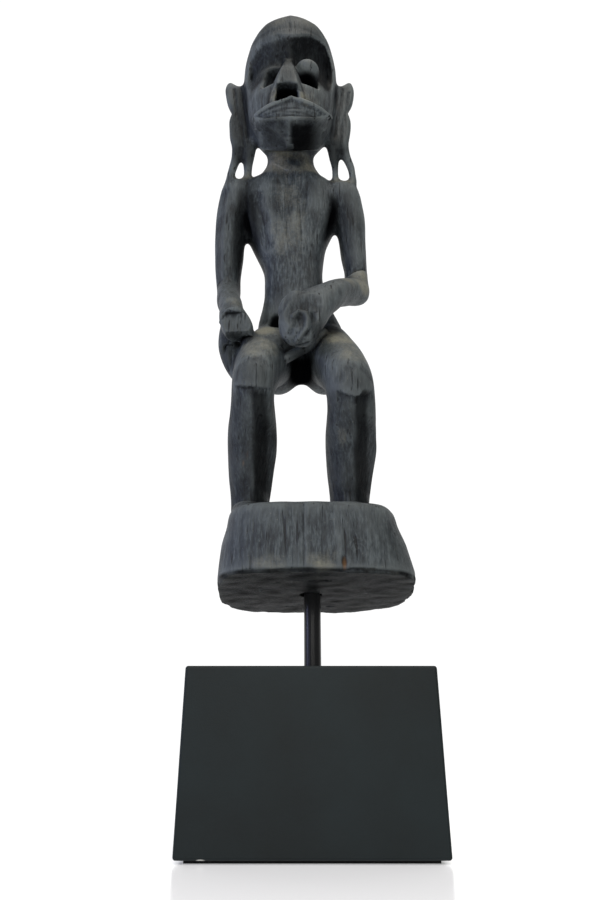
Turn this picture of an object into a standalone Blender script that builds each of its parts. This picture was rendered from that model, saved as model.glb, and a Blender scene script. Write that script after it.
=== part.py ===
"""Blackened hardwood figure of a Dayak ancestor type, on a steel rod in a black block. Blender 4.5, metres.

+Z is up, the figure looks along -Y, and the origin is the middle of the stand's underside.
"""

import math

import bmesh
import bpy
from mathutils import Matrix, Vector

# Stand: a painted block on a felt sheet, with an upright rod
BLOCK_WIDTH = 0.152
BLOCK_DEPTH = 0.152
BLOCK_HEIGHT = 0.1015
BLOCK_DRAFT = 0.0008  # each side leans in this much by the top
BLOCK_ROUNDING = 0.0016
FELT_THICKNESS = 0.0015
FELT_INSET = 0.0055
ROD_DIAMETER = 0.012
ROD_EXPOSED = 0.0585
ROD_ASIDE = 0.0022  # the rod and the figure stand this much to the right of the block's middle
ROD_IN_BLOCK = 0.050
ROD_IN_FIGURE = 0.034
ROD_CHAMFER = 0.0008
ROD_SIDES = 32
CONTACT_GAP = 0.0003  # left between pieces that touch

# Figure: every place and size on it is in carver's parts, 550 to its height, from the rod's entry upwards
FIGURE_HEIGHT = 0.550
FIGURE_PARTS = 550
PART = FIGURE_HEIGHT / FIGURE_PARTS
REMESH_PARTS = 2.0
FACES_KEPT = 0.062  # share of the remeshed faces

# Heights of the pieces above the floor
BLOCK_BOTTOM = FELT_THICKNESS + CONTACT_GAP
BLOCK_TOP = BLOCK_BOTTOM + BLOCK_HEIGHT
FIGURE_BOTTOM = BLOCK_TOP + ROD_EXPOSED

# Limbs and trunk: rows of x, y, z, half width, half depth, in parts
TRUNK = (
    (-7.5, 11, 197, 26, 18),  # crotch
    (-8.5, 10, 209, 34, 24),
    (-9, 9, 225, 37, 26),  # hips
    (-11.5, 7, 243, 31, 24),
    (-13.5, 6, 264, 26.7, 22),  # waist
    (-15.2, 5, 288, 26.5, 21.5),
    (-18.8, 4, 316, 35, 23),  # under the arms
    (-18.5, 3, 345, 46, 24),  # chest
    (-19, 1, 370, 48, 21),  # shoulders
    (-18.5, -1, 386, 30, 17),
)
NECK = (
    (-18.5, -1, 372, 38, 18),
    (-18, -3, 388, 26, 19),
    (-17.5, -8, 401, 21.7, 19.5),
    (-17.3, -13, 418, 22, 20.5),
    (-17.5, -18, 442, 25, 24),
)
RIGHT_ARM = (  # the figure's right, resting on the thigh
    (-65, 0, 367, 18.5, 17),
    (-71.5, 2, 340, 14.8, 16),
    (-72.7, 4, 305, 13.1, 15),
    (-72.2, 6, 271, 10.7, 13.5),  # elbow
    (-70, -7, 249, 10, 12),
    (-65, -25, 227, 10, 10),  # wrist
)
RIGHT_HAND = (
    (-64.5, -27, 222, 10.5, 9.5),
    (-61.5, -32, 211, 12.5, 10),
    (-57, -35, 201, 12.5, 9),
)
RIGHT_FINGERS = (  # laid down the outside of the thigh
    (-67.5, -16, 214, 8, 10),
    (-67.3, -17, 196, 8.3, 9.5),
    (-63, -20, 178, 7, 8),
    (-59, -24, 165, 4.5, 5),
)
LEFT_ARM = (  # the figure's left, bent across the belly
    (30, 0, 365, 17.5, 17),
    (36.8, 1, 340, 14.2, 15.5),
    (39, 2, 305, 11.3, 14.5),
    (40.8, 2, 281, 10.1, 13.5),
    (40, 0, 262, 11.8, 12.5),  # elbow
)
LEFT_FOREARM = (
    (40.5, -2, 260, 11.8, 12),
    (30, -16, 251, 12.5, 12),
    (18, -32, 237, 13, 11.5),
    (6, -40, 224, 16, 11),  # wrist
)
LEFT_HAND = (
    (4, -41, 222, 17, 11),
    (-4, -44, 212, 20, 11.5),
    (-8.5, -46, 200, 18, 11.5),
    (-9.5, -45, 190, 15, 10),
)
RIGHT_LEG = (
    (-26, 9, 210, 22, 25),
    (-36, -10, 189, 22.5, 24),
    (-43, -35, 160, 18, 19),
    (-44.5, -38, 141, 16.5, 17.5),  # knee
    (-44.6, -30, 124, 18, 18.5),
    (-45.2, -21, 105, 18.9, 20),  # calf
    (-45.9, -16, 83, 16.7, 18),
    (-46, -14, 64, 14.4, 15),
    (-46, -15, 46, 14, 15),
)
LEFT_LEG = (
    (8, 9, 210, 22, 25),
    (18.5, -10, 188, 20.8, 24),
    (27.3, -35, 158, 19.3, 19),
    (29.8, -38, 138, 18.3, 17.5),  # knee
    (29.6, -30, 122, 19.2, 18.5),
    (29.7, -21, 104, 19.6, 20),  # calf
    (28.6, -16, 82, 16.8, 18),
    (28, -14, 64, 14.6, 15),
    (28, -15, 46, 14.2, 15),
)
BUTTOCK_SPREAD = 20
BUTTOCK_CENTRE = (-7.5, 13, 196)
BUTTOCK_RADII = (21, 22, 26)
FOOT_RADII = (14, 24, 6)
FOOT_FORWARD = 11

# Head, as level sections, and its features
HEAD = (
    (-17.5, -45, 379, 8, 7),  # chin
    (-17.5, -43, 384, 16, 15),
    (-17.5, -40, 391, 23.5, 22),
    (-17.5, -36, 402, 29, 29),
    (-17.5, -33, 416, 35.5, 34),
    (-17.8, -29, 436, 39.3, 37),
    (-18, -26, 460, 41.5, 40),
    (-18, -25, 485, 42.8, 42),
    (-17.8, -25, 505, 41.3, 41),
    (-17.6, -26, 522, 35.5, 37),
    (-17.5, -27, 536, 26, 29),
    (-17.5, -28, 545, 15, 18),
    (-17.5, -29, 549.5, 4, 5),
)
FACE_MIDDLE = -18.5
SOCKET_CENTRE = (20.5, -63, 471)
SOCKET_RADII = (20, 11.5, 28)
SOCKET_TURN = 28  # degrees round to the side
EYE_CENTRE = (16, -55, 463)
EYE_RADII = (12, 10.5, 11)
NOSE = (
    (0, -56, 498, 3.5, 6),
    (0, -58, 478, 4, 8.5),
    (0, -63, 454, 7, 10.5),
    (0, -65, 437, 10.5, 11.5),
    (0, -64, 427, 11, 12),
)
UPPER_LIP = (  # from corner to corner, as half height and half depth
    (-35, -47, 411, 2.5, 4),
    (-26, -58, 409, 6, 6),
    (-12, -63, 409, 9.5, 7.5),
    (1, -65, 410, 10.5, 8),
    (14, -63, 410, 9.5, 7.5),
    (28, -58, 411, 6, 6),
    (37, -47, 414, 2.5, 4),
)
LOWER_LIP = (
    (-33, -48, 405, 2.5, 4),
    (-24, -56, 399, 6, 6),
    (-11, -59, 396, 8.5, 8),
    (1, -60, 395, 9, 8.5),
    (13, -59, 396, 8.5, 8),
    (26, -56, 400, 6, 6),
    (35, -48, 406, 2.5, 4),
)
EAR_OUTLINE = (  # outwards from the middle of the face, and height; the second lobe hangs under the first
    (34, 486),
    (48, 483.5),
    (56, 490.5),
    (60, 484),
    (60.3, 470),
    (58.5, 459),
    (54.8, 450.5),
    (57.6, 442),
    (57, 428),
    (55, 415),
    (50, 406),
    (42, 406),
    (35, 414),
    (30, 440),
)
EAR_DEPTH = -20
EAR_THICKNESS = 9
LOBES = {  # two hanging strands on each side: outwards, y, height and radius
    -1: (
        ((48, -19, 412, 6), (49.5, -17, 400, 4.9), (53.5, -12, 387, 4.2), (57, -8, 375, 4.2)),
        ((38, -20, 414, 7), (37.5, -18, 402, 6), (38.5, -14, 390, 4.2), (39.5, -7, 376, 3.6)),
    ),
    1: (
        ((50, -19, 412, 5.5), (52.5, -17, 401, 4.5), (57.5, -12, 389, 4), (59, -8, 375, 4.2)),
        ((40.5, -20, 414, 7), (40.5, -18, 402, 5.6), (42, -14, 390, 3.8), (42.6, -7, 376, 3.5)),
    ),
}

# Drum that the figure stands on, carved from the same log
DRUM_HEIGHT = 52
DRUM_MIDDLE = (0.5, -2)
DRUM_TOP_ASIDE = -2.6  # the top's middle is shifted by this
DRUM_BOTTOM_RADII = (70.5, 60.5)
DRUM_TOP_RADII = (64, 58.5)
DRUM_SQUARENESS = 3.3
DRUM_SKEW = -0.045  # shift to the side for each part of depth
DRUM_EDGE = 6.5
DRUM_FALL = 4.5  # the sawn underside drops this much from front to back


def clear_scene():
    for old in list(bpy.data.objects):
        bpy.data.objects.remove(old, do_unlink=True)


def new_collection(name):
    made = bpy.data.collections.new(name)
    bpy.context.scene.collection.children.link(made)
    return made


def add_mesh(name, mesh, collection):
    made = bpy.data.objects.new(name, mesh)
    collection.objects.link(made)
    return made


def material(name, colour, roughness, metallic=0.0):
    made = bpy.data.materials.new(name)
    made.use_nodes = True
    shader = made.node_tree.nodes["Principled BSDF"]
    shader.inputs["Base Color"].default_value = (*colour, 1.0)
    shader.inputs["Roughness"].default_value = roughness
    shader.inputs["Metallic"].default_value = metallic
    return made


def between(rows, steps):
    """The rows with smoothly curved ones added between them, by Catmull and Rom's formula."""
    padded = [rows[0], *rows, rows[-1]]
    made = []
    for before, a, b, after in zip(padded, padded[1:], padded[2:], padded[3:]):
        for step in range(steps):
            t = step / steps
            made.append(
                [
                    0.5 * (2 * q + (r - p) * t + (2 * p - 5 * q + 4 * r - s) * t**2 + (3 * q - p - 3 * r + s) * t**3)
                    for p, q, r, s in zip(before, a, b, after)
                ]
            )
    return [*made, list(rows[-1])]


def oval(half_width, half_depth, count, squareness):
    """Points of a superellipse: squareness 2 is an ellipse, and more is nearer to a rectangle."""
    points = []
    for i in range(count):
        angle = 2 * math.pi * i / count
        c, s = math.cos(angle), math.sin(angle)
        points.append(
            (
                math.copysign(abs(c) ** (2 / squareness), c) * half_width,
                math.copysign(abs(s) ** (2 / squareness), s) * half_depth,
            )
        )
    return points


def closed_rings(mesh, rings):
    """Faces between the rings, and a fan to the middle of the first and the last."""
    for ring, after in zip(rings, rings[1:]):
        for i, vertex in enumerate(ring):
            j = (i + 1) % len(ring)
            mesh.faces.new((vertex, ring[j], after[j], after[i]))
    for ring, turn in ((rings[0], -1), (rings[-1], 1)):
        middle = mesh.verts.new(sum((v.co for v in ring), Vector()) / len(ring))
        for i, vertex in enumerate(ring):
            mesh.faces.new((vertex, ring[(i + 1) % len(ring)], middle)[::turn])
    bmesh.ops.recalc_face_normals(mesh, faces=mesh.faces)


def loft(name, rows, collection, across=(1, 0, 0), level=False, squareness=2.2, round_ends=True, count=24, steps=4):
    """A closed skin over ovals that stand across the path, or lie level. across is the way that half widths are taken."""
    path = between(rows, steps)
    ends = []
    if round_ends:  # a dome on each end
        for row, inner in ((path[0], path[1]), (path[-1], path[-2])):
            out = (Vector(row[:3]) - Vector(inner[:3])).normalized()
            reach = min(row[3], row[4])
            dome = []
            for lift in (30, 55, 75):
                c, s = math.cos(math.radians(lift)), math.sin(math.radians(lift))
                dome.append([*(Vector(row[:3]) + out * reach * s), row[3] * c, row[4] * c])
            ends.append(dome)
        path = [*ends[0][::-1], *path, *ends[1]]
    centres = [Vector(row[:3]) for row in path]
    mesh = bmesh.new()
    rings = []
    for i, row in enumerate(path):
        along = (centres[min(i + 1, len(path) - 1)] - centres[max(i - 1, 0)]).normalized()
        if level:
            along = Vector((0, 0, 1))
        side = (Vector(across) - along * along.dot(Vector(across))).normalized()
        deep = along.cross(side)
        points = oval(row[3], row[4], count, squareness)
        rings.append([mesh.verts.new(centres[i] + side * u + deep * v) for u, v in points])
    closed_rings(mesh, rings)
    data = bpy.data.meshes.new(name)
    mesh.to_mesh(data)
    mesh.free()
    return add_mesh(name, data, collection)


def ball(name, centre, radii, collection, turn=0):
    bpy.ops.mesh.primitive_uv_sphere_add(
        segments=32, ring_count=16, radius=1, location=centre, rotation=(0, 0, math.radians(turn)), scale=radii
    )
    made = bpy.context.object
    made.name = name
    move_to(made, collection)
    return made


def move_to(obj, collection):
    for held in list(obj.users_collection):
        held.objects.unlink(obj)
    collection.objects.link(obj)


def evaluated_copy(obj, name, collection):
    """The object with its modifiers applied, as a new mesh object, and the old one removed."""
    bpy.context.view_layer.update()
    graph = bpy.context.evaluated_depsgraph_get()
    data = bpy.data.meshes.new_from_object(obj.evaluated_get(graph))
    place = obj.matrix_world.copy()
    bpy.data.objects.remove(obj, do_unlink=True)
    data.transform(place)
    mesh = bmesh.new()
    mesh.from_mesh(data)
    bmesh.ops.remove_doubles(mesh, verts=mesh.verts, dist=1e-5)
    mesh.to_mesh(data)
    mesh.free()
    return add_mesh(name, data, collection)


def boolean(obj, other, operation):
    modifier = obj.modifiers.new(operation.title(), "BOOLEAN")
    modifier.operation = operation
    modifier.object = other
    modifier.solver = "EXACT"


def hide(cutters):
    for cutter in cutters:
        cutter.hide_render = True
        cutter.display_type = "WIRE"


def strand(name, rows, side, collection):
    """A hanging cord of the ear lobe: x outwards, y, z and radius."""
    curve = bpy.data.curves.new(name, "CURVE")
    curve.dimensions = "3D"
    curve.bevel_depth = 1.0
    curve.bevel_resolution = 3
    curve.use_fill_caps = True
    spline = curve.splines.new("POLY")
    path = between(rows, 4)
    spline.points.add(len(path) - 1)
    for point, (out, y, z, radius) in zip(spline.points, path):
        point.co = (FACE_MIDDLE + side * out, y, z, 1)
        point.radius = radius
    made = bpy.data.objects.new(name, curve)
    collection.objects.link(made)
    return evaluated_copy(made, name, collection)


def ear(side, collection):
    """A flat ear with its stretched lobe in two strands, on the side that side's sign gives."""
    curve = bpy.data.curves.new("ear outline", "CURVE")
    curve.dimensions = "2D"
    curve.fill_mode = "BOTH"
    curve.extrude = EAR_THICKNESS / 2 - 1.5
    curve.bevel_depth = 1.5
    curve.bevel_resolution = 1
    curve.offset = -1.5
    spline = curve.splines.new("BEZIER")
    spline.use_cyclic_u = True
    spline.resolution_u = 4
    spline.bezier_points.add(len(EAR_OUTLINE) - 1)
    for point, (out, height) in zip(spline.bezier_points, EAR_OUTLINE):
        point.co = (side * out, height, 0)
        point.handle_left_type = point.handle_right_type = "AUTO"
    plate = bpy.data.objects.new("ear", curve)
    collection.objects.link(plate)
    plate.matrix_world = Matrix.Translation((FACE_MIDDLE, EAR_DEPTH, 0)) @ Matrix.Rotation(math.pi / 2, 4, "X")
    return [
        evaluated_copy(plate, "ear", collection),
        strand("outer strand", LOBES[side][0], side, collection),
        strand("inner strand", LOBES[side][1], side, collection),
    ]


def face_row(row):
    return (FACE_MIDDLE + row[0], *row[1:])


def head(shells):
    """The skull with two eye hollows cut in it, then eyes, nose, lips and ears laid over it."""
    skull = loft("skull", HEAD, shells, level=True, squareness=2.15, round_ends=False, count=40)
    hollows = []
    for side in (-1, 1):
        centre = (FACE_MIDDLE + side * SOCKET_CENTRE[0], *SOCKET_CENTRE[1:])
        hollows.append(ball("hollow", centre, SOCKET_RADII, shells, side * SOCKET_TURN))
    for hollow in hollows:
        boolean(skull, hollow, "DIFFERENCE")
    skull = evaluated_copy(skull, "skull", shells)
    for hollow in hollows:
        bpy.data.objects.remove(hollow, do_unlink=True)
    pieces = [skull]
    for side in (-1, 1):
        pieces.append(ball("eye", (FACE_MIDDLE + side * EYE_CENTRE[0], *EYE_CENTRE[1:]), EYE_RADII, shells))
        pieces += ear(side, shells)
    nose = [face_row(row) for row in NOSE]
    pieces.append(loft("nose", nose, shells, squareness=2.0, round_ends=False))
    for name, rows in (("upper lip", UPPER_LIP), ("lower lip", LOWER_LIP)):
        pieces.append(loft(name, [face_row(row) for row in rows], shells, across=(0, 0, 1)))
    return pieces


def body(shells):
    pieces = [
        loft("trunk", TRUNK, shells, level=True, squareness=2.5),
        loft("neck", NECK, shells),
    ]
    limbs = {
        "right arm": RIGHT_ARM,
        "right hand": RIGHT_HAND,
        "right fingers": RIGHT_FINGERS,
        "left arm": LEFT_ARM,
        "left forearm": LEFT_FOREARM,
        "left hand": LEFT_HAND,
        "right leg": RIGHT_LEG,
        "left leg": LEFT_LEG,
    }
    for name, rows in limbs.items():
        pieces.append(loft(name, rows, shells))
    for side in (-1, 1):
        x, y, z = BUTTOCK_CENTRE
        pieces.append(ball("buttock", (x + side * BUTTOCK_SPREAD, y, z), BUTTOCK_RADII, shells))
    for leg in (RIGHT_LEG, LEFT_LEG):
        x, y = leg[-1][:2]
        pieces.append(ball("foot", (x, y - FOOT_FORWARD, DRUM_HEIGHT), FOOT_RADII, shells))
    return pieces


def drum_ring(mesh, middle, radii, height, fall):
    """One level of the drum: an uneven rounded square, whose height drops towards the back by fall."""
    ring = []
    for i in range(72):
        a = 2 * math.pi * i / 72
        c, s = math.cos(a), math.sin(a)
        swell = 1 + 0.012 * math.cos(3 * a + 0.6) + 0.008 * math.cos(5 * a - 1.0)
        x = math.copysign(abs(c) ** (2 / DRUM_SQUARENESS), c) * radii[0] * swell
        y = math.copysign(abs(s) ** (2 / DRUM_SQUARENESS), s) * radii[1] * swell
        place = (middle + DRUM_SKEW * y + x, DRUM_MIDDLE[1] + y, height - fall * (y / radii[1] + 1) / 2)
        ring.append(mesh.verts.new(place))
    return ring


def drum(collection):
    mesh = bmesh.new()
    rings = []
    levels = [(0, -1.5, DRUM_FALL), (2, 0, DRUM_FALL), (DRUM_HEIGHT * 0.5, 0, DRUM_FALL / 2)]
    for angle in (0, 30, 60, 85):
        a = math.radians(angle)
        levels.append((DRUM_HEIGHT - DRUM_EDGE * (1 - math.sin(a)), -DRUM_EDGE * (1 - math.cos(a)), 0))
    for height, shrink, fall in levels:
        share = height / DRUM_HEIGHT
        radii = [low + (high - low) * share + shrink for low, high in zip(DRUM_BOTTOM_RADII, DRUM_TOP_RADII)]
        rings.append(drum_ring(mesh, DRUM_MIDDLE[0] + DRUM_TOP_ASIDE * share, radii, height, fall))
    closed_rings(mesh, rings)
    data = bpy.data.meshes.new("drum")
    mesh.to_mesh(data)
    mesh.free()
    return add_mesh("drum", data, collection)


def fill_hollows(obj):
    """Keep only the outer skin where the shells have shut small spaces in between them."""
    mesh = bmesh.new()
    mesh.from_mesh(obj.data)
    left = set(mesh.verts)
    bodies = []
    while left:
        reached = {left.pop()}
        edge = list(reached)
        while edge:
            near = {e.other_vert(v) for v in edge for e in v.link_edges} & left
            left -= near
            reached |= near
            edge = list(near)
        bodies.append(reached)
    bodies.sort(key=len)
    bmesh.ops.delete(mesh, geom=[v for body in bodies[:-1] for v in body], context="VERTS")
    mesh.to_mesh(obj.data)
    mesh.free()


def fused(name, pieces, collection):
    """The overlapping shells as one skin, softened as by a knife and then thinned to few faces."""
    for piece in pieces:
        piece.select_set(True)
    bpy.context.view_layer.objects.active = pieces[0]
    bpy.ops.object.join()
    whole = pieces[0]
    remesh = whole.modifiers.new("Remesh", "REMESH")
    remesh.mode = "VOXEL"
    remesh.voxel_size = REMESH_PARTS
    smooth = whole.modifiers.new("Smooth", "SMOOTH")
    smooth.factor = 0.5
    smooth.iterations = 5
    thin = whole.modifiers.new("Thin", "DECIMATE")
    thin.ratio = FACES_KEPT
    return evaluated_copy(whole, name, collection)


def figure(collection, cutters):
    shells = new_collection("figure shells")
    for obj in bpy.data.objects:
        obj.select_set(False)
    carved = fused("dayak_figure", head(shells) + body(shells), collection)
    fill_hollows(carved)
    base = drum(shells)
    boolean(carved, base, "UNION")
    carved = evaluated_copy(carved, "dayak_figure", collection)
    carved.data.transform(Matrix.Translation((ROD_ASIDE, 0, FIGURE_BOTTOM)) @ Matrix.Scale(PART, 4))
    bpy.data.objects.remove(base, do_unlink=True)
    bore = round_bar("figure bore", ROD_DIAMETER / 2 + CONTACT_GAP, FIGURE_BOTTOM - 0.02, rod_top() + CONTACT_GAP, cutters)
    boolean(carved, bore, "DIFFERENCE")
    carved.data.materials.append(material("blackened hardwood", (0.035, 0.036, 0.036), 0.7))
    return carved


def rod_top():
    return FIGURE_BOTTOM + ROD_IN_FIGURE


def rod_bottom():
    return BLOCK_TOP - ROD_IN_BLOCK


def round_bar(name, radius, bottom, top, collection):
    bpy.ops.mesh.primitive_cylinder_add(
        vertices=ROD_SIDES, radius=radius, depth=top - bottom, location=(ROD_ASIDE, 0, (top + bottom) / 2)
    )
    made = bpy.context.object
    made.name = name
    move_to(made, collection)
    return made


def rod(collection):
    made = round_bar("mounting_rod", ROD_DIAMETER / 2, rod_bottom(), rod_top(), collection)
    bevel = made.modifiers.new("Chamfer", "BEVEL")
    bevel.width = ROD_CHAMFER
    bevel.segments = 1
    bevel.limit_method = "ANGLE"
    bevel.angle_limit = math.radians(60)
    made.data.materials.append(material("black steel", (0.02, 0.022, 0.025), 0.4, 1.0))
    return made


def slab(name, width, depth, bottom, height, draft, collection):
    """A box whose four sides lean in by draft at the top."""
    bpy.ops.mesh.primitive_cube_add(size=1, location=(0, 0, bottom + height / 2))
    made = bpy.context.object
    made.name = name
    for vertex in made.data.vertices:
        lean = draft if vertex.co.z > 0 else 0
        vertex.co = (
            math.copysign(width / 2 - lean, vertex.co.x),
            math.copysign(depth / 2 - lean, vertex.co.y),
            math.copysign(height / 2, vertex.co.z),
        )
    move_to(made, collection)
    return made


def block(collection, cutters):
    made = slab("black_block", BLOCK_WIDTH, BLOCK_DEPTH, BLOCK_BOTTOM, BLOCK_HEIGHT, BLOCK_DRAFT, collection)
    bevel = made.modifiers.new("Rounded edges", "BEVEL")
    bevel.width = BLOCK_ROUNDING
    bevel.segments = 3
    socket = round_bar("block bore", ROD_DIAMETER / 2 + CONTACT_GAP, rod_bottom() - CONTACT_GAP, BLOCK_TOP + 0.01, cutters)
    boolean(made, socket, "DIFFERENCE")
    made.data.materials.append(material("black paint", (0.018, 0.021, 0.022), 0.6))
    return made


def felt(collection):
    width = BLOCK_WIDTH - 2 * FELT_INSET
    depth = BLOCK_DEPTH - 2 * FELT_INSET
    made = slab("felt_pad", width, depth, 0, FELT_THICKNESS, 0, collection)
    made.data.materials.append(material("black felt", (0.01, 0.01, 0.01), 0.95))
    return made


def main():
    clear_scene()
    statue = new_collection("dayak statue")
    cutters = new_collection("cutters")
    figure(statue, cutters)
    rod(statue)
    block(statue, cutters)
    felt(statue)
    hide(cutters.objects)


main()
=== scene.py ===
# %% [markdown]
# # A blackened hardwood figure on its display stand
# An ancestor figure of a Dayak type, carved with its log base from one trunk and blackened by age and
# handling. A thin steel rod holds it over a square painted block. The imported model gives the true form
# and size of every piece; this lesson gives each piece the surface that the real one has.

import math

import bpy
import numpy as np
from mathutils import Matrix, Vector


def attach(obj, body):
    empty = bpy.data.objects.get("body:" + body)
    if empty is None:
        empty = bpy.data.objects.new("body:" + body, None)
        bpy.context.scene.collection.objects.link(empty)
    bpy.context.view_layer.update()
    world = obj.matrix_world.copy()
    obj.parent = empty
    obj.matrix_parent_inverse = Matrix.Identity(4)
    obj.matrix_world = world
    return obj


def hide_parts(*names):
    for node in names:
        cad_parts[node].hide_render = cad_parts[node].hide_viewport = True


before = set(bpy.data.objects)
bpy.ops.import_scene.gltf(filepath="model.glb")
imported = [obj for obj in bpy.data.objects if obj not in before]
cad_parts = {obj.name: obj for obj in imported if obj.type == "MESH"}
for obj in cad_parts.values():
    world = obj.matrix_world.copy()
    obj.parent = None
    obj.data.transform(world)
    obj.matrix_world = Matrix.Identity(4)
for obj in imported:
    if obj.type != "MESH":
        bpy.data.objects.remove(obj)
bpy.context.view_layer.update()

# %% [markdown]
# The photograph is taken from just over the table top, close to the block, looking up. That is why the
# block looks wide and the head looks small. The view is as tall as a 28 mm lens gives on a 36 mm side.

# %% The camera
CAMERA_AT = (-0.0067, -0.510, 0.060)
LOOKS_UP = 22.8  # degrees

camera_data = bpy.data.cameras.new("low_view")
camera_data.sensor_fit = "VERTICAL"
camera_data.sensor_height = 36.0
camera_data.lens = 28.0
camera_data.clip_start = 0.01
camera = bpy.data.objects.new("low_view", camera_data)
camera.location = CAMERA_AT
camera.rotation_euler = (math.radians(90.0 + LOOKS_UP), 0.0, 0.0)
bpy.context.scene.collection.objects.link(camera)
bpy.context.scene.camera = camera
print("camera stands", round(camera.location.z * 1000), "mm over the table")


# %% [markdown]
# A tool of Blender acts on everything that is selected, and loading the model leaves its nodes selected.
# So one helper makes a single piece the selected one, and another applies its modifiers in their order.

# %% Picking up one piece at a time
def pick(piece):
    bpy.ops.object.select_all(action="DESELECT")
    piece.select_set(True)
    bpy.context.view_layer.objects.active = piece


def finish_modifiers(piece):
    pick(piece)
    for name in [modifier.name for modifier in piece.modifiers]:
        bpy.ops.object.modifier_apply(modifier=name)


def copy_of_node(node, name):
    piece = bpy.data.objects.new(name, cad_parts[node].data.copy())
    bpy.context.scene.collection.objects.link(piece)
    pick(piece)
    bpy.ops.object.mode_set(mode="EDIT")
    bpy.ops.mesh.select_all(action="SELECT")
    bpy.ops.mesh.remove_doubles(threshold=0.00001)
    bpy.ops.object.mode_set(mode="OBJECT")
    piece.data.materials.clear()
    return piece


# %% [markdown]
# The figure is carved from one log, so it is made the way a sculptor works from a roughed-out block. The
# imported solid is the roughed-out form. It is copied, its flat facets are rounded by a subdivision, and a
# fine voxel remesh turns it into even clay, in bits of about a millimetre, that every later cut can move.
# Subdividing alone would leave long thin faces that can't hold a gouge line.
# Places on it are told in carver's parts: 550 from the foot of the log to the crown, a millimetre each.

# %% The roughed-out figure as even clay
PART = 0.001
ORIGIN = np.array([0.0022, 0.0, 0.1618])
CLAY = 0.0011  # metres across one bit of clay
FINE_CLAY = 0.00095


def remesh(piece, size, passes, factor):
    voxels = piece.modifiers.new("even_clay", "REMESH")
    voxels.mode = "VOXEL"
    voxels.voxel_size = size
    soften = piece.modifiers.new("soften", "SMOOTH")
    soften.factor = factor
    soften.iterations = passes
    finish_modifiers(piece)


figure = copy_of_node("dayak_figure", "carved_figure")
rounding = figure.modifiers.new("rounding", "SUBSURF")
rounding.levels = 2
rounding.render_levels = 2
finish_modifiers(figure)
remesh(figure, CLAY, 2, 0.5)
print("clay points:", len(figure.data.vertices))


# %% [markdown]
# Every cut reads the points of the clay, moves some of them and puts them back. A cut along a line needs
# the distance of each point from that line; only the points near it are looked at, which keeps it quick.

# %% Reading and moving the clay
def read_points(piece):
    points = np.empty(len(piece.data.vertices) * 3, np.float32)
    piece.data.vertices.foreach_get("co", points)
    normals = np.empty(len(piece.data.vertices) * 3, np.float32)
    piece.data.vertices.foreach_get("normal", normals)
    return (points.reshape(-1, 3).astype(float) - ORIGIN) / PART, normals.reshape(-1, 3).astype(float)


def write_points(piece, points):
    piece.data.vertices.foreach_set("co", (points * PART + ORIGIN).astype(np.float32).ravel())
    piece.data.update()


def distance_to_line(points, line):
    line = np.array(line, float)
    best = np.full(len(points), 1e9)
    for start, end in zip(line[:-1], line[1:]):
        run = end - start
        share = np.clip((points - start) @ run / max(run @ run, 1e-9), 0.0, 1.0)
        best = np.minimum(best, np.linalg.norm(points - start - share[:, None] * run, axis=1))
    return best


def soft_step(value):
    value = np.clip(value, 0.0, 1.0)
    return value * value * (3.0 - 2.0 * value)


# %% [markdown]
# The face is a relief, as on a mask: seen from the front, each place on it has one depth. A carver here
# leaves a brow that overhangs a wide dished hollow, one domed eye and one that is worn down, each over a
# deep pit, a wedge of a nose with a flat underside, and a lens of a mouth with a raised rim. So the depth
# is worked out as one field over the width and height of the face, and the clay is moved to it. The field
# starts from the round skin of the head, given by its half width and half depth at each height.

# %% The skin of the head behind the face
FACE_MIDDLE = -18.4
HEAD_Z = (379, 391, 402, 416, 436, 460, 485, 505, 522, 536, 545)
HEAD_HALF_WIDTH = (8, 23.5, 29, 35.5, 39.3, 41.9, 44.0, 42.7, 37.0, 27.3, 16)
HEAD_HALF_DEPTH = (7, 22, 29, 34, 37, 40, 42, 41, 37, 29, 18)
HEAD_MIDDLE_Y = (-45, -40, -36, -33, -29, -26, -25, -25, -26, -27, -28)


def head_half_width(z):
    return np.interp(z, HEAD_Z, HEAD_HALF_WIDTH)


def head_skin(across, z):
    share = np.clip(across / head_half_width(z), -0.985, 0.985)
    half_depth = np.interp(z, HEAD_Z, HEAD_HALF_DEPTH)
    return np.interp(z, HEAD_Z, HEAD_MIDDLE_Y) - half_depth * np.sqrt(1 - share ** 2)


# %% [markdown]
# The hollow is cut with one sweep of a round gouge: it drops fast under the brow and runs out slowly over
# the cheeks. Its top follows the brow, which is crisp on the viewer's right and rubbed down on the left.

# %% The dished hollow under the brow
BROW_ACROSS = (-40, -36, -30.6, -26, -20, -10.5, -3.5, 3.2, 9, 14, 20, 28, 33, 37, 40)
BROW_Z = (484, 494, 500, 503.5, 503, 500, 497, 497, 498.3, 501, 504, 505.5, 504, 497, 486)
DISH_FOOT = 436.0
DISH_DEPTH = 12.5


def dish(across, z):
    top = np.interp(across, BROW_ACROSS, BROW_Z)
    share = np.clip((top - z) / (top - DISH_FOOT), 0, 1)
    crisp = np.interp(across, (-16, 4), (0, 1))
    rise = np.clip(share / 0.34, 0, 1)
    under_brow = crisp * np.sqrt(1 - (1 - rise) ** 2) + (1 - crisp) * soft_step(rise)
    hollow = under_brow * soft_step((1 - share) / 0.66)
    side = 1 - soft_step((np.abs(across) - head_half_width(z) + 9) / 8)
    bridge = 1 - 0.35 * np.exp(-((across - 1.0) / 6.0) ** 2)
    shallow = np.interp(across, (-12, 4), (0.82, 1.0))
    return DISH_DEPTH * hollow * side * bridge * shallow


# %% [markdown]
# One eye is still a full dome, made as half of an ellipsoid set in the relief. The other was worn by
# touching, so it is only a soft swelling. Each pit is a box-shaped cut whose edges are as soft as they
# look: sharp beside the dome and rounded on the worn side.

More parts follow.
